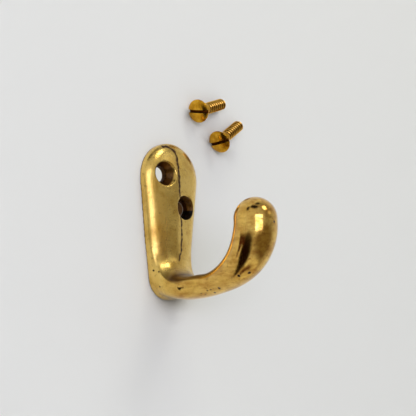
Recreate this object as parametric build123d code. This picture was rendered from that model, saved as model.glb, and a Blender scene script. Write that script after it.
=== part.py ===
"""Hat and coat hook: one brass casting and the two brass screws that fix it.

Frame: +Z up along the plate, the plate's back on Y = 0 with the wall behind it (+Y), the hook
reaching out along -Y, +X to the right as seen from the front. The origin is on the plate's
middle line, halfway up between the two screw holes. Millimetres.
"""
from build123d import *
from math import asin, atan, copysign, cos, degrees, pi, radians, sin, tan
import os

os.makedirs("parts", exist_ok=True)

# Plate
plate_height = 54.4
head_radius = 12.5          # the broad, round upper end
foot_radius = 8.8           # the narrower, round lower end
rim_depth = 1.9             # flat side wall round the plate
rim_draft = 0.15            # how far the side wall leans in
dome_peak = 5.5             # front of the plate on its middle line
origin_above_foot = 37.5    # plate's lower end to the origin

# Screw holes, each measured across and up from the origin
hole_bore = 5.2
hole_mouth = 8.7
countersink_angle = 64.0
countersink_from = 4.8      # the mouth's height over the plate's back
upper_hole = (-5.1, 5.5)
lower_hole = (4.8, -5.5)

# Arm and bulb, in the plate's middle plane: out from the wall, up from the plate's foot
saddle_radius = 8.0         # inner round where the plate turns into the arm
arm_thickness = 7.2
arm_shoulder_width = 15.2   # where the turn is thickest
arm_neck_width = 8.8        # where the arm is slimmest
bulb_width = 13.9
bulb_centre = (41.1, 24.4)

# Screws
screw_head = 8.4
screw_shank = 4.3           # over the thread
screw_length = 15.8         # head's rim to tip
head_cone_angle = 90.0
head_rim = 0.35             # straight edge of the head
head_crown = 0.9            # how far the raised head stands above its rim
slot_width = 1.1
slot_depth = 1.5
tip_bevel = 0.6

# Where each screw lies: its head across and up from the plate's foot, its way, the slot's turn
upper_screw_at = (11.0, 67.6, 21.5, 14.0)
lower_screw_at = (21.8, 58.0, 34.3, 0.0)

foot_z = -origin_above_foot
head_centre = foot_z + plate_height - head_radius
foot_centre = foot_z + foot_radius


def front_plane(out, x=0.0, z=0.0):
    """Sketch plane parallel to the wall, `out` in front of it."""
    return Plane(origin=(x, -out, z), x_dir=(1, 0, 0), z_dir=(0, -1, 0))


def plate_outline(out, share=1.0, inset=0.0):
    """Pear outline with both end circles at a share of their size."""
    top, low = head_radius * share - inset, foot_radius * share - inset
    lean = asin((top - low) / (head_centre - foot_centre))

    def on(radius, centre, angle):
        return (radius * cos(angle), centre + radius * sin(angle))

    with BuildSketch(front_plane(out)) as outline:
        with BuildLine():
            a, b = on(top, head_centre, -lean), on(top, head_centre, pi + lean)
            c, d = on(low, foot_centre, pi + lean), on(low, foot_centre, -lean)
            ThreePointArc(a, (0, head_centre + top), b)
            Line(b, c)
            ThreePointArc(c, (0, foot_centre - low), d)
            Line(d, a)
        make_face()
    return outline.sketch.faces()[0]


def plate_blank():
    """Side wall, then the domed front as a stack of ever smaller outlines."""
    wall = loft([plate_outline(0), plate_outline(rim_depth, 1.0, rim_draft)])
    rise = dome_peak - rim_depth
    steps = [(0.0, 0.0), (0.17, 0.035), (0.36, 0.10), (0.56, 0.22), (0.70, 0.38), (0.82, 0.58),
             (0.92, 0.79), (0.97, 0.90), (1.0, 0.965)]
    dome = loft([plate_outline(rim_depth + rise * up, 1.0 - cut, rim_draft * (1 - cut))
                 for up, cut in steps])
    return wall + dome


def heel():
    """Side wall of the foot, ever deeper towards its lower end, where it runs on into the arm."""
    # The wall's depth out from the back, and how far up from the foot it has that depth
    depths = [(1.5, 22.0), (2.6, 17.5), (4.0, 13.0), (6.2, 8.6), (10.0, 5.2), (13.0, 4.0)]
    edge = [(-out, foot_z + up) for out, up in depths]
    with BuildSketch(Plane.YZ) as side:
        with BuildLine():
            Spline(*edge)
            Polyline(edge[-1], (edge[-1][0], foot_z), (0, foot_z), (0, edge[0][1]), edge[0])
        make_face()
    wedge = extrude(side.sketch, head_radius, both=True)
    return wedge & extrude(plate_outline(0, 1.0, rim_draft + 0.05), dome_peak + saddle_radius)


def across_way(out, up, tilt):
    """Plane across the bar; tilt is how far its way points above straight out from the wall."""
    t = radians(tilt)
    return Plane(origin=(0, -out, foot_z + up), x_dir=(1, 0, 0), z_dir=(0, -cos(t), sin(t)))


def oval(out, up, tilt, width, thickness, fullness=2.0):
    """Section of the bar: an ellipse at fullness 2, squarer above that."""
    plane = across_way(out, up, tilt)
    if fullness == 2.0:
        return (plane * Ellipse(width / 2, thickness / 2)).faces()[0]
    ring = []
    for i in range(16):
        c, n = cos(2 * pi * i / 16), sin(2 * pi * i / 16)
        ring.append((copysign(abs(c) ** (2 / fullness), c) * width / 2,
                     copysign(abs(n) ** (2 / fullness), n) * thickness / 2))
    with BuildSketch(plane) as section:
        with BuildLine():
            Spline(*ring, periodic=True)
        make_face()
    return section.sketch.faces()[0]


def turn_oval(angle, outer, width, fullness):
    """Section in the turn: from the saddle's round to `outer`, both from its centre."""
    out = dome_peak + saddle_radius - 0.2
    up = arm_thickness + saddle_radius
    middle, t = (saddle_radius + outer) / 2, radians(angle)
    return oval(out - middle * cos(t), up - middle * sin(t), angle - 90, width,
                outer - saddle_radius, fullness)


def bar():
    """From inside the plate down round the saddle, out as the arm and up into the bulb."""
    half = arm_thickness / 2
    out, up = bulb_centre
    ways = [
        turn_oval(0, saddle_radius + 4.0, 9.0, 2.0),
        turn_oval(22, saddle_radius + 5.4, 13.6, 2.3),
        turn_oval(45, saddle_radius + 9.4, arm_shoulder_width, 2.8),
        turn_oval(68, saddle_radius + 8.2, 14.4, 2.6),
        oval(dome_peak + saddle_radius, half + 0.3, 0, 12.0, arm_thickness + 0.6, 2.3),
        oval(19.7, half + 0.8, 9, arm_neck_width, arm_thickness + 0.6),
        oval(25.9, 5.8, 22, arm_neck_width + 0.2, 8.5),
        oval(33.4, 9.3, 38, 11.2, 11.2),
        oval(38.8, 14.8, 58, 13.4, 13.4),
        oval(40.9, 20.0, 76, bulb_width + 0.1, bulb_width + 0.1),
        oval(out, up, 86, bulb_width, bulb_width),
    ]
    end = across_way(out, up, 86) * split(Sphere(bulb_width / 2), Plane.XY, keep=Keep.TOP)
    return loft(ways).fuse(end)


def hole_cutter(across, up):
    """Bore and countersink, straight in towards the wall."""
    slope = tan(radians(countersink_angle / 2))
    depth = (hole_mouth - hole_bore) / 2 / slope
    clear = dome_peak           # the cone runs on past the front
    with BuildSketch(Plane.XZ) as half_profile:
        Polygon((0, -1), (hole_bore / 2, -1), (hole_bore / 2, countersink_from - depth),
                (hole_mouth / 2 + clear * slope, countersink_from + clear),
                (0, countersink_from + clear), align=None)
    cutter = revolve(half_profile.sketch, Axis.Z)
    return front_plane(0, across, up) * cutter


def hook_casting():
    blank = plate_blank().fuse(heel()).fuse(bar())
    body = split(blank, front_plane(0), keep=Keep.TOP)     # back filed flat
    for across, up in (upper_hole, lower_hole):
        body -= hole_cutter(across, up)
    return body


def screw():
    """Raised countersunk head with its slot on a round shank; tip along +Z, the rim at 0."""
    head, shank = screw_head / 2, screw_shank / 2
    cone_end = head_rim + (head - shank) / tan(radians(head_cone_angle / 2))
    with BuildSketch(Plane.XZ) as half_profile:
        with BuildLine():
            ThreePointArc((0, -head_crown), (head * 0.55, -head_crown * 0.72), (head, 0))
            Polyline((head, 0), (head, head_rim), (shank, cone_end), (shank, screw_length - tip_bevel),
                     (shank - tip_bevel, screw_length), (0, screw_length), (0, -head_crown))
        make_face()
    blank = revolve(half_profile.sketch, Axis.Z)
    return blank - Pos(0, 0, -head_crown) * Box(screw_head * 1.2, slot_width, 2 * slot_depth)


def resting_screw(across, up, way, turn):
    """Screw laid on the plane of the plate's back, on its rim and the end of its shank."""
    lean = atan((screw_head - screw_shank) / 2 / (screw_length - tip_bevel - head_rim))
    lift = screw_head / 2 * cos(lean) + head_rim * sin(lean)
    lying = Pos(0, 0, lift) * Rot(0, 90 + degrees(lean), 0) * Rot(0, 0, turn) * screw()
    return front_plane(0, across, up - origin_above_foot) * Rot(0, 0, way) * lying


export_step(hook_casting(), "parts/hook_casting.step")
export_step(resting_screw(*upper_screw_at), "parts/upper_screw.step")
export_step(resting_screw(*lower_screw_at), "parts/lower_screw.step")
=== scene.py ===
"""A cast brass hat and coat hook against a pale wall, with its two screws lying beside it."""
from math import atan, cos, pi, radians, sin

import bpy
from mathutils import Matrix, Vector, noise
from mathutils.kdtree import KDTree


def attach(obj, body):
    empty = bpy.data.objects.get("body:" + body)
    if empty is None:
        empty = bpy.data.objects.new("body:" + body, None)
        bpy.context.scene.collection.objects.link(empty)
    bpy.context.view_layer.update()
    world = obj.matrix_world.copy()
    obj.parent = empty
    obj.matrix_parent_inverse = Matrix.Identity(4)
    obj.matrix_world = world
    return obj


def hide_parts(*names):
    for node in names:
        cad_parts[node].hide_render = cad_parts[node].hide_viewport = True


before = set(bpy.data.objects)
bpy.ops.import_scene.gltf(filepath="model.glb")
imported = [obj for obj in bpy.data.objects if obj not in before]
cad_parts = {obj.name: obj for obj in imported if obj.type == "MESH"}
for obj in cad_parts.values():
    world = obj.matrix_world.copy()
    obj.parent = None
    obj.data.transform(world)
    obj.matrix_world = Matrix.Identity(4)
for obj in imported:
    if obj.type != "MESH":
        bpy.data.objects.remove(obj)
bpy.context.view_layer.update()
MM = 0.001


# The hook: one sand casting in yellow brass. The plate, the turn at its foot, the arm and the
# bulb are one piece, so its joints are soft, and it has been filed and buffed by hand, which
# leaves slow waves, faint scratches and a few casting pits that the wheel did not reach.
CAST_GRAIN = 0.25 * MM              # spacing of the dressed mesh
TURN_OUT, TURN_UP = 8.0, -29.0      # middle of the turn, out from the wall and up, in mm
TURN_DEEP, TURN_TALL = 9, 11        # how far its fillets reach from there
FILLET_PASSES, EDGE_PASSES = 400, 3
FILLET_GAIN = 2.2                   # above 1, the middle of the turn is smoothed in full


def settle(piece):
    """Turns the piece and its modifiers into one plain mesh."""
    graph = bpy.context.evaluated_depsgraph_get()
    mesh = bpy.data.meshes.new_from_object(piece.evaluated_get(graph))
    piece.modifiers.clear()
    piece.data = mesh
    return mesh


# A CAD mesh is loose triangles, so the copy is merged before it gets its even skin.
casting = bpy.data.objects.new("brass_casting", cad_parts["hook_casting"].data.copy())
bpy.context.scene.collection.objects.link(casting)
weld = casting.modifiers.new("weld", "WELD")
weld.merge_threshold = 0.001 * MM
grain = casting.modifiers.new("cast skin", "REMESH")
grain.mode = "VOXEL"
grain.voxel_size = CAST_GRAIN
grain.use_smooth_shade = True
settle(casting)

# The turn under the plate is smoothed more than the rest, as the casting's fillets are.
fillets = casting.vertex_groups.new(name="fillets")
for v in casting.data.vertices:
    out, up = -v.co.y / MM, v.co.z / MM
    soft = max(0.0, 1 - abs(up - TURN_UP) / TURN_TALL) * max(0.0, 1 - abs(out - TURN_OUT) / TURN_DEEP)
    if soft > 0:
        fillets.add([v.index], min(1.0, FILLET_GAIN * soft), "REPLACE")
buffed = casting.modifiers.new("buffed fillets", "SMOOTH")
buffed.vertex_group = "fillets"
buffed.factor, buffed.iterations = 0.5, FILLET_PASSES
edges = casting.modifiers.new("buffed edges", "SMOOTH")
edges.factor, edges.iterations = 0.5, EDGE_PASSES
settle(casting)
for face in casting.data.polygons:
    face.use_smooth = True

# Pits are marked on the skin, so that the brass material can darken and sink there.
CASTING_PITS = (                    # a point near the surface, and how far the pit reaches, in mm
    (-8.6, -3.1, -27.8, 0.8), (-8.3, -5.2, -28.2, 0.7), (-8.2, -5.0, -33.5, 0.6),
    (-3.1, -20.2, -35.9, 0.6), (-2.4, -21.3, -36.2, 0.5), (-3.3, -23.2, -35.0, 0.7),
    (-3.3, -24.5, -34.7, 0.6), (-1.9, -25.0, -35.7, 0.8), (-2.9, -28.1, -34.5, 1.1),
    (0.9, -48.0, -14.5, 1.0), (-3.6, -37.5, -30.9, 1.1), (-2.1, -40.3, -30.0, 1.2),
)
skin_points = KDTree(len(casting.data.vertices))
for v in casting.data.vertices:
    skin_points.insert(v.co, v.index)
skin_points.balance()
pitting = casting.data.attributes.new("pitting", "FLOAT", "POINT")
for x, y, z, pit_reach in CASTING_PITS:
    middle = skin_points.find(Vector((x, y, z)) * MM)[0]
    for _, index, far in skin_points.find_range(middle, pit_reach * MM):
        pitting.data[index].value = max(pitting.data[index].value, 1 - far / (pit_reach * MM))

# Darker marks share one attribute. The filed back has stayed brown. The inner side of the hook
# gets painted shade, a thin line along the plate's ridge is a painted dark reflection with painted
# shade on its left, and the edge against the wall is painted darker. All places here are in mm.
RIDGE_LINE = ((-4.4, 15.0), (-3.3, 15.3), (-0.8, 14.5), (0.4, 12.4), (0.7, 3.5), (1.6, -6.0),
              (2.3, -15.4), (2.0, -20.6), (0.8, -23.8))     # across and up
RIDGE_OUT = 2                       # the ridge stands further out from the wall than this
RIDGE_SHADE_RIGHT = 0.6             # the shade beside the line ends here across the plate
ARM_OUT = 6                         # the arm starts here, out from the wall
HOOK_MIDDLE = (20, -14)             # middle of the hook's bend, out and up


def from_to(value, none, full):
    """0 where value is at none, 1 where it is at full, and even between them."""
    return min(1.0, max(0.0, (value - none) / (full - none)))


def off_ridge(across, up):
    """Distance from the line along the plate's ridge, or 9 if that is more."""
    here, near = Vector((across, up)), 9.0
    for a, b in zip(RIDGE_LINE, RIDGE_LINE[1:]):
        a, way = Vector(a), Vector(b) - Vector(a)
        along = min(1.0, max(0.0, (here - a).dot(way) / way.length_squared))
        near = min(near, (here - a - along * way).length)
    return near


tarnish_and_painted_shade = casting.data.attributes.new("tarnish_and_painted_shade", "FLOAT", "POINT")
for v in casting.data.vertices:
    across, out, up = v.co.x / MM, -v.co.y / MM, v.co.z / MM
    level = from_to(out, 0.55, 0.20)        # the edge against the wall
    if v.normal.y > 0.6:                    # the filed back
        level = 0.45 + 0.3 * noise.noise(v.co / MM * 0.25)
    # Painted shade on the inner side of the hook, which faces the plate.
    if out > ARM_OUT:                       # the inner side of the hook
        inward = Vector((0, out - HOOK_MIDDLE[0], HOOK_MIDDLE[1] - up)).normalized().dot(v.normal)
        reach = from_to(out, ARM_OUT, 9) * from_to(up, -10, -15)
        level = max(level, 0.85 * reach * from_to(inward, 0.50, 0.75))
    # A painted dark reflection along the ridge, and painted shade on its left.
    elif out > RIDGE_OUT:                   # the line along the ridge, and the shade on its left
        near = off_ridge(across, up)
        ragged = (0.46 if up > 0 else 0.35) + 0.45 * noise.noise(Vector((across, 0, up)) * 0.9)
        level = max(level, from_to(near, ragged + 0.18, ragged - 0.12) * (near < 1.5),
                    0.4 * from_to(near, 2.2, 0) * (across < RIDGE_SHADE_RIGHT))
    tarnish_and_painted_shade.data[v.index].value = level


def linear(code):
    """'#RRGGBB' in sRGB to the linear colour that a shader socket takes."""
    parts = [int(code[i:i + 2], 16) / 255 for i in (1, 3, 5)]
    return tuple(c / 12.92 if c <= 0.04045 else ((c + 0.055) / 1.055) ** 2.4 for c in parts) + (1,)


def feed(node, inputs):
    """Gives inputs, by name or number, what they follow, a socket or a node, or a value."""
    for name, value in inputs.items():
        if isinstance(value, bpy.types.Node):
            value = next(socket for socket in value.outputs if socket.enabled)
        if isinstance(value, bpy.types.NodeSocket):
            node.id_data.links.new(value, node.inputs[name])
        else:
            node.inputs[name].default_value = value


def add(tree, kind, inputs=None, stops=(), **settings):
    """Adds a node with its inputs and, as settings, its properties. A stop of a colour ramp is its
    place with a value or '#RRGGBB'."""
    node = tree.nodes.new(kind)
    for name, value in settings.items():
        setattr(node, name, value)
    feed(node, inputs or {})
    for _ in stops[2:]:
        node.color_ramp.elements.new(1.0)
    for number, (place, tone) in enumerate(stops):
        element = node.color_ramp.elements[number]
        element.position = place
        element.color = linear(tone) if isinstance(tone, str) else (tone, tone, tone, 1)
    return node


def new_material(name):
    """Material with an empty Principled shader, its tree and that shader."""
    material = bpy.data.materials.new(name)
    material.use_nodes = True
    return material, material.node_tree, material.node_tree.nodes["Principled BSDF"]


# Yellow brass, cast, filed and buffed. Freshly buffed it mirrors the room in a warm yellow;
# where it has tarnished it turns to a duller olive brown and the mirror blurs a little.
brass, tree, skin = new_material("buffed cast brass")
place = add(tree, "ShaderNodeTexCoord").outputs["Object"]
xyz = add(tree, "ShaderNodeSeparateXYZ", {0: place}).outputs
patches = add(tree, "ShaderNodeTexNoise",
              {"Vector": place, "Scale": 1 / (7 * MM), "Detail": 5.0, "Roughness": 0.62})
tint = add(tree, "ShaderNodeValToRGB", {"Fac": patches},
           [(0.30, "#CA9E42"), (0.48, "#E4BE60"), (0.62, "#ECC86C"), (0.80, "#D4A94A")])
freckles = add(tree, "ShaderNodeTexNoise",
               {"Vector": place, "Scale": 1 / (1.1 * MM), "Detail": 3.0, "Roughness": 0.7})
specks = add(tree, "ShaderNodeValToRGB", {"Fac": freckles}, [(0.30, "#8C5E22"), (0.42, "#FFFFFF")])
worn = add(tree, "ShaderNodeMix", {"Factor": 0.5, "A": tint, "B": specks}, data_type="RGBA",
           blend_type="MULTIPLY")

# Faint brown streaks run along the arm and the bulb.
drawn = add(tree, "ShaderNodeMapping", {"Vector": place, "Scale": (1, 0.3, 1)})
streaks = add(tree, "ShaderNodeTexNoise",
              {"Vector": drawn, "Scale": 1 / (2.6 * MM), "Detail": 4.0, "Roughness": 0.65})
streaky = add(tree, "ShaderNodeValToRGB", {"Fac": streaks}, [(0.34, "#C8A878"), (0.60, "#FFFAF0")])
on_arm = add(tree, "ShaderNodeMapRange",
             {"Value": xyz["Y"], "From Min": -6 * MM, "From Max": -12 * MM, "To Max": 0.9})
streaked = add(tree, "ShaderNodeMix", {"Factor": on_arm, "A": worn, "B": streaky}, data_type="RGBA",
               blend_type="MULTIPLY")
# Painted shade and a painted dark reflection share this attribute with the brown of the filed back;
# all mix to one dark brown.
tarnish_and_shade = add(tree, "ShaderNodeAttribute", attribute_name="tarnish_and_painted_shade").outputs["Fac"]
tarnished_and_shaded = add(tree, "ShaderNodeMix",
              {"Factor": tarnish_and_shade, "A": streaked, "B": linear("#44240E")}, data_type="RGBA")

# Inside the two screw holes the wheel never reached the brass: it is brown and dull.
UPPER_HOLE = (-5.1 * MM, 5.5 * MM)  # across and up from the origin
LOWER_HOLE = (4.8 * MM, -5.5 * MM)
HOLE_MOUTH = 8.7 * MM
PLATE_MIDDLE, PLATE_HALF = -3.35 * MM, 3.15 * MM        # the holes' depth in the plate, along Y
in_plate = add(tree, "ShaderNodeMath", {0: xyz["Y"], 1: PLATE_MIDDLE, 2: PLATE_HALF},
               operation="COMPARE")
flat = add(tree, "ShaderNodeVectorMath", {0: place, 1: (1, 0, 1)}, operation="MULTIPLY")
in_holes = []
for x, z in (UPPER_HOLE, LOWER_HOLE):
    reach = add(tree, "ShaderNodeVectorMath", {0: flat, 1: (x, 0, z)}, operation="DISTANCE")
    inside = add(tree, "ShaderNodeMapRange",
                 {"Value": reach, "From Min": HOLE_MOUTH / 2 - 0.1 * MM,
                  "From Max": HOLE_MOUTH / 2 - 0.35 * MM})
    in_holes.append(add(tree, "ShaderNodeMath", {0: inside, 1: in_plate}, operation="MULTIPLY"))
bores = add(tree, "ShaderNodeMath", {0: in_holes[0], 1: in_holes[1]}, operation="MAXIMUM")
drilled = add(tree, "ShaderNodeValToRGB", {"Fac": freckles},
              [(0.3, "#4A2E12"), (0.5, "#6E4A1C"), (0.7, "#7E5826")])
dirty = add(tree, "ShaderNodeMix", {"Factor": bores, "A": tarnished_and_shaded, "B": drilled}, data_type="RGBA")

# Painted shade: the lower half of the lower hole is near black.
low = add(tree, "ShaderNodeMapRange",
          {"Value": xyz["Z"], "From Min": LOWER_HOLE[1] - 0.3 * MM,
           "From Max": LOWER_HOLE[1] - 0.7 * MM})
lower_bore_shade = add(tree, "ShaderNodeMath", {0: in_holes[1], 1: low}, operation="MULTIPLY")
bore_shaded = add(tree, "ShaderNodeMix", {"Factor": lower_bore_shade, "A": dirty, "B": linear("#100C0B")},
            data_type="RGBA")
pits = add(tree, "ShaderNodeAttribute", attribute_name="pitting").outputs["Fac"]
ragged_pits = add(tree, "ShaderNodeMath", {0: pits, 1: freckles}, operation="MULTIPLY")
sunk = add(tree, "ShaderNodeMapRange", {"Value": ragged_pits, "From Min": 0.22, "From Max": 0.34})
black = add(tree, "ShaderNodeMix", {"Factor": sunk, "A": bore_shaded, "B": linear("#3A240C")},
            data_type="RGBA")
feed(skin, {"Base Color": black, "Metallic": 1.0})
feed(skin, {"Coat Weight": 0.3, "Coat Roughness": 0.12})        # wax left by the polish

# The plate is duller than the arm and the bulb, and its left flank below the head is the dullest.
shine = add(tree, "ShaderNodeMapRange",
            {"Value": patches, "From Min": 0.3, "From Max": 0.75, "To Min": 0.20, "To Max": 0.12})
on_plate = add(tree, "ShaderNodeMapRange",
               {"Value": xyz["Y"], "From Min": -9 * MM, "From Max": -4.5 * MM, "To Max": 0.08})
hazy = add(tree, "ShaderNodeMath", {0: shine, 1: on_plate}, operation="ADD")
on_left = add(tree, "ShaderNodeMapRange",
              {"Value": xyz["X"], "From Min": -3.5 * MM, "From Max": -6.5 * MM, "To Max": 1.3})
below_head = add(tree, "ShaderNodeMapRange",
                 {"Value": xyz["Z"], "From Min": 12 * MM, "From Max": 5 * MM})
left_flank = add(tree, "ShaderNodeMath", {0: on_left, 1: below_head}, operation="MULTIPLY")
flank = add(tree, "ShaderNodeMath", {0: left_flank, 1: on_plate, 2: hazy},
            operation="MULTIPLY_ADD")
unbuffed = add(tree, "ShaderNodeMath", {0: bores, 1: tarnish_and_shade}, operation="MAXIMUM")
dull = add(tree, "ShaderNodeMix", {"Factor": unbuffed, "A": flank, "B": 0.42})
feed(skin, {"Roughness": dull})

# Slow waves of hand filing, small dimples on the plate, the wheel's scratches, which are drawn
# coarser than real ones so that they show, and the casting pits.
waves = add(tree, "ShaderNodeTexNoise",
            {"Vector": place, "Scale": 1 / (9 * MM), "Detail": 1.5, "Roughness": 0.4})
wavy = add(tree, "ShaderNodeBump", {"Height": waves, "Strength": 1.0, "Distance": 0.35 * MM})
dimples = add(tree, "ShaderNodeTexNoise",
              {"Vector": place, "Scale": 1 / (1.4 * MM), "Detail": 3.0, "Roughness": 0.6})
on_front = add(tree, "ShaderNodeMath", {0: on_plate, 1: 8.0}, operation="MULTIPLY")
dimpled = add(tree, "ShaderNodeBump",
              {"Height": dimples, "Normal": wavy, "Strength": on_front, "Distance": 0.15 * MM})
stretch = add(tree, "ShaderNodeMapping",
              {"Vector": place, "Rotation": (0, radians(14), 0), "Scale": (1, 1, 0.16)})
scratch = add(tree, "ShaderNodeTexNoise",
              {"Vector": stretch, "Scale": 1 / (0.32 * MM), "Detail": 2.0, "Roughness": 0.6})
scored = add(tree, "ShaderNodeBump",
             {"Height": scratch, "Normal": dimpled, "Strength": 0.25, "Distance": 0.02 * MM})
pitted = add(tree, "ShaderNodeBump",
             {"Height": sunk, "Normal": scored, "Strength": 0.6, "Distance": 0.15 * MM},
             invert=True)
feed(skin, {"Normal": pitted})

casting.data.materials.clear()
casting.data.materials.append(brass)
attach(casting, "root")
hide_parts("hook_casting")


# The screws: two slotted brass screws with raised countersunk heads, turned and threaded from
# rod. They stand in the plate's countersinks when the hook is up; here they lie loose.
HEAD, SHANK, CORE = 8.4 * MM, 4.3 * MM, 2.8 * MM        # diameters
LENGTH, RIM, CROWN = 15.8 * MM, 0.35 * MM, 0.9 * MM
SLOT_WIDTH, SLOT_DEPTH = 1.1 * MM, 1.5 * MM
SAW_PLAY = 0.02 * MM                # a face this near to the slot still counts as its own
TIP_BEVEL = 0.6 * MM
PITCH = 1.3 * MM
NECK = 2.0 * MM                     # plain shank under the head's cone
SHARPEST_CURVE = radians(32)        # a sharper fold shows as an edge
PLATE_FOOT = -37.5 * MM
RESTING = {                         # head across and up from the plate's foot, way, slot turn
    "upper_screw": (11.0 * MM, 67.6 * MM, radians(21.5), radians(14)),
    "lower_screw": (21.8 * MM, 58.0 * MM, radians(34.3), 0.0),
}

# Brass rod, turned on a lathe. It is a deeper yellow than the casting, with a painted highlight on
# the thread's crests, and darker and duller down in its roots and in the slot, where the attribute is
# high.
turned, tree, skin = new_material("turned brass")
place = add(tree, "ShaderNodeTexCoord").outputs["Object"]
stains = add(tree, "ShaderNodeTexNoise",
             {"Vector": place, "Scale": 1 / (2.2 * MM), "Detail": 4.0, "Roughness": 0.6})
tint = add(tree, "ShaderNodeValToRGB", {"Fac": stains},
           [(0.32, "#A87418"), (0.5, "#CC9424"), (0.68, "#E2B03C")])
roots = add(tree, "ShaderNodeAttribute", attribute_name="darkened_recess").outputs["Fac"]
dark = add(tree, "ShaderNodeValToRGB", {"Fac": roots},
           [(0.16, "#FFFFFF"), (0.38, "#6A3812"), (0.60, "#43200A")])
# Painted highlight: the thread's crests are a lighter yellow.
crests = add(tree, "ShaderNodeValToRGB", {"Fac": roots},
             [(0.0, 0.0), (0.03, 1.0), (0.24, 1.0), (0.34, 0.0)])
painted_crest_highlight = add(tree, "ShaderNodeMix", {"Factor": crests, "A": tint, "B": linear("#F8C458")},
             data_type="RGBA")
threaded = add(tree, "ShaderNodeMix", {"Factor": 0.95, "A": painted_crest_highlight, "B": dark}, data_type="RGBA",
               blend_type="MULTIPLY")
haze = add(tree, "ShaderNodeMapRange",
           {"Value": stains, "From Min": 0.3, "From Max": 0.7, "To Min": 0.27, "To Max": 0.16})
dulled = add(tree, "ShaderNodeMath", {0: roots, 1: 0.3, 2: haze}, operation="MULTIPLY_ADD")
turning = add(tree, "ShaderNodeTexNoise", {"Vector": place, "Scale": 1 / (0.5 * MM), "Detail": 2.0})
felt = add(tree, "ShaderNodeBump", {"Height": turning, "Strength": 0.3, "Distance": 0.03 * MM})
feed(skin, {"Base Color": threaded, "Metallic": 1.0, "Roughness": dulled, "Normal": felt})


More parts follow.
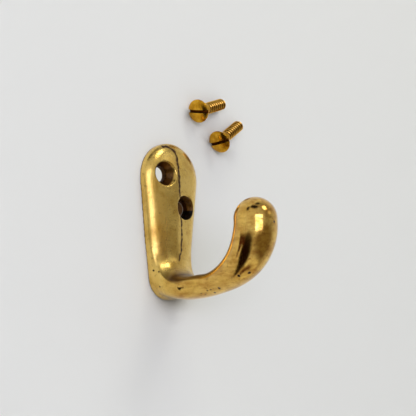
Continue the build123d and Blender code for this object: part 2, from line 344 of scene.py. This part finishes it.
def screw_tree():
    """Turns a half profile round its axis, cuts the thread's helix into it and mills the slot."""
    tree = bpy.data.node_groups.new("turned screw", "GeometryNodeTree")
    face = tree.interface
    face.new_socket("Profile", in_out="INPUT", socket_type="NodeSocketGeometry")
    for name in ("Thread Start", "Thread End", "Pitch", "Thread Depth", "Slot Width", "Slot Depth",
                 "Head", "Crown", "Slot Turn"):
        face.new_socket(name, in_out="INPUT", socket_type="NodeSocketFloat")
    face.new_socket("Finish", in_out="INPUT", socket_type="NodeSocketMaterial")
    face.new_socket("Screw", in_out="OUTPUT", socket_type="NodeSocketGeometry")
    given = add(tree, "NodeGroupInput").outputs

    # A grid one unit square: one way runs along the profile, the other once round the axis.
    sheet = add(tree, "GeometryNodeMeshGrid",
                {"Size X": 1.0, "Size Y": 1.0, "Vertices X": 260, "Vertices Y": 41})
    where = add(tree, "ShaderNodeSeparateXYZ", {0: add(tree, "GeometryNodeInputPosition")}).outputs
    along = add(tree, "ShaderNodeMath", {0: where["X"], 1: 0.5}, operation="ADD")
    turns = add(tree, "ShaderNodeMath", {0: where["Y"], 1: 0.5}, operation="ADD")
    angle = add(tree, "ShaderNodeMath", {0: turns, 1: 2 * pi}, operation="MULTIPLY")
    line = add(tree, "GeometryNodeMeshToCurve", {"Mesh": given["Profile"]})
    point = add(tree, "GeometryNodeSampleCurve", {"Curves": line, "Factor": along}, mode="FACTOR",
                use_all_curves=True)
    profile = add(tree, "ShaderNodeSeparateXYZ", {0: point.outputs["Position"]}).outputs
    radius, height = profile["X"], profile["Z"]

    # V-shaped groove that climbs one pitch each turn.
    pitches = add(tree, "ShaderNodeMath", {0: height, 1: given["Pitch"]}, operation="DIVIDE")
    climb = add(tree, "ShaderNodeMath", {0: pitches, 1: turns}, operation="SUBTRACT")
    zigzag = add(tree, "ShaderNodeMath", {0: climb, 1: 0.5}, operation="PINGPONG")
    groove = add(tree, "ShaderNodeMath", {0: zigzag, 1: 2.0}, operation="MULTIPLY")

    # It fades in over one pitch under the neck, and out over a part of one at the tip.
    neck_fade = add(tree, "ShaderNodeMath", {0: given["Thread Start"], 1: given["Pitch"]},
                    operation="ADD")
    run_in = add(tree, "ShaderNodeMapRange",
                 {"Value": height, "From Min": given["Thread Start"], "From Max": neck_fade})
    tip_fade = add(tree, "ShaderNodeMath", {0: given["Pitch"], 1: 0.4, 2: given["Thread End"]},
                   operation="MULTIPLY_ADD")
    run_out = add(tree, "ShaderNodeMapRange",
                  {"Value": height, "From Min": tip_fade, "From Max": given["Thread End"]})
    share = add(tree, "ShaderNodeMath", {0: run_in, 1: run_out}, operation="MULTIPLY")
    faded = add(tree, "ShaderNodeMath", {0: groove, 1: share}, operation="MULTIPLY")
    deep = add(tree, "ShaderNodeMath", {0: faded, 1: given["Thread Depth"]}, operation="MULTIPLY")
    cut = add(tree, "ShaderNodeMath", {0: radius, 1: deep}, operation="SUBTRACT")
    cosine = add(tree, "ShaderNodeMath", {0: angle}, operation="COSINE")
    sine = add(tree, "ShaderNodeMath", {0: angle}, operation="SINE")
    x = add(tree, "ShaderNodeMath", {0: cut, 1: cosine}, operation="MULTIPLY")
    y = add(tree, "ShaderNodeMath", {0: cut, 1: sine}, operation="MULTIPLY")
    spot = add(tree, "ShaderNodeCombineXYZ", {"X": x, "Y": y, "Z": height})

    # The roots are marked while the grid is still flat, because the groove is read from it.
    marked = add(tree, "GeometryNodeStoreNamedAttribute",
                 {"Geometry": sheet, "Name": "darkened_recess", "Value": faded}, data_type="FLOAT",
                 domain="CORNER")
    turned_rod = add(tree, "GeometryNodeSetPosition", {"Geometry": marked, "Position": spot})
    outward = add(tree, "GeometryNodeFlipFaces", {"Mesh": turned_rod})
    closed = add(tree, "GeometryNodeMergeByDistance", {"Geometry": outward, "Distance": 0.001 * MM})

    # The slot is a straight cut across the head, as a slitting saw leaves it.
    across = add(tree, "ShaderNodeMath", {0: given["Head"], 1: 1.3}, operation="MULTIPLY")
    tall = add(tree, "ShaderNodeMath", {0: given["Slot Depth"], 1: 2.0}, operation="MULTIPLY")
    size = add(tree, "ShaderNodeCombineXYZ", {"X": across, "Y": given["Slot Width"], "Z": tall})
    saw = add(tree, "GeometryNodeMeshCube", {"Size": size})
    top = add(tree, "ShaderNodeMath", {0: given["Crown"], 1: -1.0}, operation="MULTIPLY")
    lift = add(tree, "ShaderNodeCombineXYZ", {"Z": top})
    twist = add(tree, "ShaderNodeCombineXYZ", {"Z": given["Slot Turn"]})
    blade = add(tree, "GeometryNodeTransform",
                {"Geometry": saw, "Translation": lift, "Rotation": twist})
    slotted = add(tree, "GeometryNodeMeshBoolean", {0: closed, 1: blade}, operation="DIFFERENCE",
                  solver="EXACT")
    real = add(tree, "GeometryNodeRealizeInstances", {0: slotted})
    finished = add(tree, "GeometryNodeSetMaterial", {"Geometry": real, "Material": given["Finish"]})
    add(tree, "NodeGroupOutput", {"Screw": finished})
    return tree


def screw_profile():
    """Half profile from the crown's middle round the rim, down the cone and along to the tip."""
    head, shank = HEAD / 2, SHANK / 2
    cone_end = RIM + (head - shank)
    crown = [(head * t, -CROWN * (1 - t ** 2.6)) for t in (0, .15, .3, .45, .6, .72, .83, .92, .98)]
    points = crown + [(head, 0.0), (head, RIM), (shank, cone_end), (shank, LENGTH - TIP_BEVEL),
                      (shank - TIP_BEVEL, LENGTH), (0, LENGTH)]
    mesh = bpy.data.meshes.new("screw profile")
    mesh.from_pydata([(r, 0, z) for r, z in points], [(i, i + 1) for i in range(len(points) - 1)], [])
    return mesh


turning_tree = screw_tree()
lean = atan((HEAD - SHANK) / 2 / (LENGTH - TIP_BEVEL - RIM))
rest_height = HEAD / 2 * cos(lean) + RIM * sin(lean)
for node, (across, up, way, slot_turn) in RESTING.items():
    piece = bpy.data.objects.new("brass_" + node, screw_profile())
    bpy.context.scene.collection.objects.link(piece)
    maker = piece.modifiers.new("turned screw", "NODES")
    maker.node_group = turning_tree
    sizes = {"Thread Start": RIM + (HEAD - SHANK) / 2 + NECK, "Thread End": LENGTH - TIP_BEVEL,
             "Pitch": PITCH, "Thread Depth": (SHANK - CORE) / 2, "Slot Width": SLOT_WIDTH,
             "Slot Depth": SLOT_DEPTH, "Head": HEAD, "Crown": CROWN, "Slot Turn": slot_turn,
             "Finish": turned}
    for item in turning_tree.interface.items_tree:
        if item.in_out == "INPUT" and item.name in sizes:
            maker[item.identifier] = sizes[item.name]
    mesh = settle(piece)
    # The slot's own faces are marked half way, so they are darker and duller.
    recess_marks = mesh.attributes["darkened_recess"].data
    for face in mesh.polygons:
        spot = Matrix.Rotation(-slot_turn, 3, "Z") @ face.center
        if abs(spot.y) < SLOT_WIDTH / 2 + SAW_PLAY and spot.z < SLOT_DEPTH - CROWN + SAW_PLAY:
            for corner in face.loop_indices:
                recess_marks[corner].value = 0.5
    # Laid on the wall plane on its rim and the end of its thread, as the CAD screw lies.
    lying = (Matrix(((1, 0, 0, across), (0, 0, -1, 0), (0, 1, 0, PLATE_FOOT + up), (0, 0, 0, 1)))
             @ Matrix.Rotation(way, 4, "Z") @ Matrix.Translation((0, 0, rest_height))
             @ Matrix.Rotation(pi / 2 + lean, 4, "Y"))
    mesh.transform(lying)
    for face in mesh.polygons:
        face.use_smooth = True
    mesh.set_sharp_from_angle(angle=SHARPEST_CURVE)
    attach(piece, "root")
    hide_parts(node)


# The pale wall that the hook stands against, and a pale floor well below it. The wall is
# see-through from behind, so the back of the plate can be looked at.
def flat_sheet(name, corners, material):
    """One stage face through four corners."""
    mesh = bpy.data.meshes.new(name)
    mesh.from_pydata(corners, [], [(0, 1, 2, 3)])
    mesh.materials.append(material)
    sheet = bpy.data.objects.new(name, mesh)
    bpy.context.scene.collection.objects.link(sheet)
    return sheet


# Matt wall paint: nearly white, with hardly any sheen, and with painted shade and a painted glow on
# it near the hook.
WALL_BEHIND = 0.05 * MM             # gap between the plate's back and the wall
OPEN_NEARER = 0.4 * MM              # a ray that comes from nearer than this goes through
paint, tree, skin = new_material("pale grey paint and painted shade")
surface = add(tree, "ShaderNodeNewGeometry").outputs
path = add(tree, "ShaderNodeLightPath").outputs
xyz = add(tree, "ShaderNodeSeparateXYZ", {0: surface["Position"]}).outputs
flat = add(tree, "ShaderNodeVectorMath", {0: surface["Position"], 1: (1, 0, 1)},
           operation="MULTIPLY")
near = add(tree, "ShaderNodeMath", {0: path["Ray Length"], 1: OPEN_NEARER},
           operation="LESS_THAN")
see_through = add(tree, "ShaderNodeMath", {0: surface["Backfacing"], 1: near}, operation="MAXIMUM")

# For the brass the wall ends at a slant low on the left, along its top and at one notch on its
# left, so that it mirrors the room past them. Every camera sees the wall run on.
SLANT_WAY, SLANT_FAR = (-0.6, 0, -0.8), 130 * MM
TOP_EDGE = 100 * MM
NOTCH_EDGE, NOTCH_MIDDLE, NOTCH_HALF = -65 * MM, -31 * MM, 19 * MM
slant = add(tree, "ShaderNodeVectorMath", {0: surface["Position"], 1: SLANT_WAY},
            operation="DOT_PRODUCT")
low_left = add(tree, "ShaderNodeMath", {0: slant, 1: SLANT_FAR}, operation="GREATER_THAN")
high = add(tree, "ShaderNodeMath", {0: xyz["Z"], 1: TOP_EDGE}, operation="GREATER_THAN")
left = add(tree, "ShaderNodeMath", {0: xyz["X"], 1: NOTCH_EDGE}, operation="LESS_THAN")
level_with = add(tree, "ShaderNodeMath", {0: xyz["Z"], 1: NOTCH_MIDDLE, 2: NOTCH_HALF},
                 operation="COMPARE")
notch = add(tree, "ShaderNodeMath", {0: left, 1: level_with}, operation="MULTIPLY")
past = add(tree, "ShaderNodeMath", {0: low_left, 1: high}, operation="MAXIMUM")
outside = add(tree, "ShaderNodeMath", {0: past, 1: notch}, operation="MAXIMUM")
mirrored = add(tree, "ShaderNodeMath", {0: outside, 1: path["Is Glossy Ray"]}, operation="MULTIPLY")
open_side = add(tree, "ShaderNodeMath", {0: see_through, 1: mirrored}, operation="MAXIMUM")

# Through the upper hole the wall is a painted glow, as bright as elsewhere though it is no lamp;
# through the lower one it is painted brown shade.
BORE_REACH = 2.7 * MM
in_bores = []
for x, z in (UPPER_HOLE, LOWER_HOLE):
    reach = add(tree, "ShaderNodeVectorMath", {0: flat, 1: (x, 0, z)}, operation="DISTANCE")
    in_bores.append(add(tree, "ShaderNodeMath", {0: reach, 1: BORE_REACH}, operation="LESS_THAN"))
lit = add(tree, "ShaderNodeMath", {0: in_bores[0], 1: path["Is Camera Ray"]}, operation="MULTIPLY")
glow = add(tree, "ShaderNodeEmission", {"Color": linear("#D6D6D2"), "Strength": 1.0})

# Painted shade: the wall's colour darkens close under things, to the right of the hook and to the
# left of the screws.
SHADE_REACH = 14 * MM
HOOK_TOP, SCREWS_LOW = 19 * MM, 22 * MM
by_screws = add(tree, "ShaderNodeMapRange",
                {"Value": xyz["Z"], "From Min": HOOK_TOP, "From Max": SCREWS_LOW,
                 "To Min": -0.45, "To Max": 0.45})
free_side = add(tree, "ShaderNodeCombineXYZ", {"X": by_screws, "Y": -0.55, "Z": 0.70})
shade = add(tree, "ShaderNodeAmbientOcclusion", {"Normal": free_side, "Distance": SHADE_REACH},
            samples=8)
shaded = add(tree, "ShaderNodeValToRGB", {"Fac": shade.outputs["AO"]},
             [(0.18, "#44403A"), (0.42, "#A09E94"), (0.68, "#F5F6EE")])
# The wall in the lower hole is painted brown shade.
painted_wall_shade = add(tree, "ShaderNodeMix", {"Factor": in_bores[1], "A": shaded, "B": linear("#6A4A24")},
          data_type="RGBA")
feed(skin, {"Base Color": painted_wall_shade, "Roughness": 0.7, "Specular IOR Level": 0.2})
board = add(tree, "ShaderNodeMixShader", {0: lit, 1: skin, 2: glow})
clear = add(tree, "ShaderNodeBsdfTransparent")
seen = add(tree, "ShaderNodeMixShader", {0: open_side, 1: board, 2: clear})
feed(tree.nodes["Material Output"], {"Surface": seen})
flat_sheet("wall", [(-2, WALL_BEHIND, -0.6), (2, WALL_BEHIND, -0.6), (2, WALL_BEHIND, 2),
                    (-2, WALL_BEHIND, 2)], paint)

floor_paint, tree, skin = new_material("pale floor paint")
feed(skin, {"Base Color": linear("#DCDCDC"), "Roughness": 0.8})
floor = flat_sheet("floor", [(-3, -3, -0.6), (3, -3, -0.6), (3, 3, -0.6), (-3, 3, -0.6)], floor_paint)
floor.visible_glossy = False        # the brass mirrors the room instead


# Soft studio light: a wide lamp at the left of the camera, one above it and one overhead, each
# a rectangle that faces the hook. The room round them is dimmer, and the brass mirrors it.
AIM = Vector((0, -10, -5)) * MM


def soft_box(name, azimuth, elevation, distance, width, height, brightness):
    """Area lamp at a compass angle from straight out of the wall (+ is right) and a height angle.
    Its face shows at that brightness, where 1 is a white surface."""
    lamp = bpy.data.lights.new(name, "AREA")
    lamp.shape, lamp.size, lamp.size_y = "RECTANGLE", width, height
    lamp.energy = brightness * pi * width * height
    thing = bpy.data.objects.new(name, lamp)
    bpy.context.scene.collection.objects.link(thing)
    a, e = radians(azimuth), radians(elevation)
    thing.location = (distance * cos(e) * sin(a), -distance * cos(e) * cos(a), distance * sin(e))
    thing.rotation_euler = (AIM - thing.location).to_track_quat("-Z", "Y").to_euler()
    return thing


window = soft_box("window", -30, 4, 1.2, 0.80, 0.42, 3.1)
window.data.color = (1, 1, 1.35)
soft_box("ceiling", 17, 46, 1.2, 0.36, 0.32, 4.4)
skylight = soft_box("skylight", 10, 80, 1.2, 0.90, 0.50, 4.4)
skylight.data.color = (1, 1, 0.88)
skylight.visible_glossy = False     # too plain a shape to be mirrored in the brass

# The world, by compass angle and height angle, both shaken a little so that no edge is straight.
SHAKE = 0.12                        # most that an angle is shaken, in radians
room = bpy.data.worlds.new("room")
bpy.context.scene.world = room
room.use_nodes = True
tree = room.node_tree
heading = add(tree, "ShaderNodeTexCoord").outputs["Generated"]
blur = add(tree, "ShaderNodeTexNoise", {"Vector": heading, "Scale": 3.0, "Detail": 3.0})
way = add(tree, "ShaderNodeSeparateXYZ", {0: heading}).outputs
minus_y = add(tree, "ShaderNodeMath", {0: way["Y"], 1: -1.0}, operation="MULTIPLY")
turn = add(tree, "ShaderNodeMath", {0: way["X"], 1: minus_y}, operation="ARCTAN2")
rise = add(tree, "ShaderNodeMath", {0: way["Z"]}, operation="ARCSINE")
angles = add(tree, "ShaderNodeCombineXYZ", {"X": turn, "Y": rise})
shake = add(tree, "ShaderNodeVectorMath",
            {0: blur.outputs["Color"], 1: (2 * SHAKE, 2 * SHAKE, 0), 2: (-SHAKE, -SHAKE, 0)},
            operation="MULTIPLY_ADD")
shaken = add(tree, "ShaderNodeVectorMath", {0: angles, 1: shake}, operation="ADD")
compass = add(tree, "ShaderNodeMapRange", {"Value": turn, "From Min": -pi, "From Max": pi})
# From straight behind the wall (0) by its left (0.25), straight out (0.5) and its right (0.75).
seen_room = add(tree, "ShaderNodeValToRGB", {"Fac": compass},
                [(0.00, 0.66), (0.20, 0.66), (0.30, 0.70), (0.49, 0.46), (0.53, 0.36), (0.61, 0.33),
                 (0.66, 0.50), (0.75, 0.75), (1.00, 0.66)])

# Soft-edged ovals laid over it one by one: azimuth, elevation, half width and half height in
# degrees, how soft the edge is, and the tone.
ROOM_PATCHES = (
    (0, -90, 400, 34, 0.2, "#DCD8CC"),      # pale below
    (5, -22, 45, 27, 0.4, "#80745C"),       # dim straight out
    (36, 23, 13, 8, 0.3, "#FFFFFF"),        # bright on the right
    (-92, -30, 37, 30, 0.2, "#1C0B05"),     # dark low on the left
    (-112, -46, 24, 16, 0.2, "#1C0B05"),
    (-114, -7, 20, 14, 0.3, "#4A200C"),
    (-60, -73, 70, 6, 0.5, "#5A2A10"),
    (-101, 45, 10, 12, 0.3, "#120C08"),     # dark high on the left
    (-58, 58, 34, 10, 0.3, "#1C140C"),
    (-10, 78, 50, 7, 0.3, "#1C140C"),
)
for azimuth, elevation, half_width, half_height, softness, tone in ROOM_PATCHES:
    off = add(tree, "ShaderNodeVectorMath",
              {0: shaken, 1: (radians(azimuth), radians(elevation), 0)}, operation="SUBTRACT")
    scaled = add(tree, "ShaderNodeVectorMath",
                 {0: off, 1: (1 / radians(half_width), 1 / radians(half_height), 0)},
                 operation="MULTIPLY")
    far = add(tree, "ShaderNodeVectorMath", {0: scaled}, operation="LENGTH")
    inside = add(tree, "ShaderNodeMapRange",
                 {"Value": far, "From Min": 1 + softness, "From Max": 1 - softness},
                 interpolation_type="SMOOTHSTEP")
    seen_room = add(tree, "ShaderNodeMix", {"Factor": inside, "A": seen_room, "B": linear(tone)},
                    data_type="RGBA")
camera_side = add(tree, "ShaderNodeLightPath").outputs["Is Camera Ray"]
backdrop = add(tree, "ShaderNodeMix",
               {"Factor": camera_side, "A": seen_room, "B": linear("#DEDEDF")}, data_type="RGBA")
feed(tree.nodes["Background"], {"Color": backdrop})


# The camera stands left of the hook and a little below it. Its place, swing and tilt are such
# that the plate's outline, the hole mouths and the screw heads fall where the photograph has them.
CAMERA_PLACE = (-0.20883, -0.22800, -0.04945)
CAMERA_SWING, CAMERA_TILT = radians(-45.13), radians(-8.09)
camera = bpy.data.objects.new("camera", bpy.data.cameras.new("camera"))
bpy.context.scene.collection.objects.link(camera)
camera.data.lens, camera.data.sensor_width = 77.88, 36.0
camera.data.clip_start = 0.01
back = Vector((sin(CAMERA_SWING) * cos(CAMERA_TILT), -cos(CAMERA_SWING) * cos(CAMERA_TILT),
               sin(CAMERA_TILT)))
right = Vector((cos(CAMERA_SWING), sin(CAMERA_SWING), 0))
camera.matrix_world = Matrix.Translation(CAMERA_PLACE) @ Matrix(
    (right, back.cross(right), back)).transposed().to_4x4()
bpy.context.scene.camera = camera
bpy.context.scene.view_settings.view_transform = "Standard"
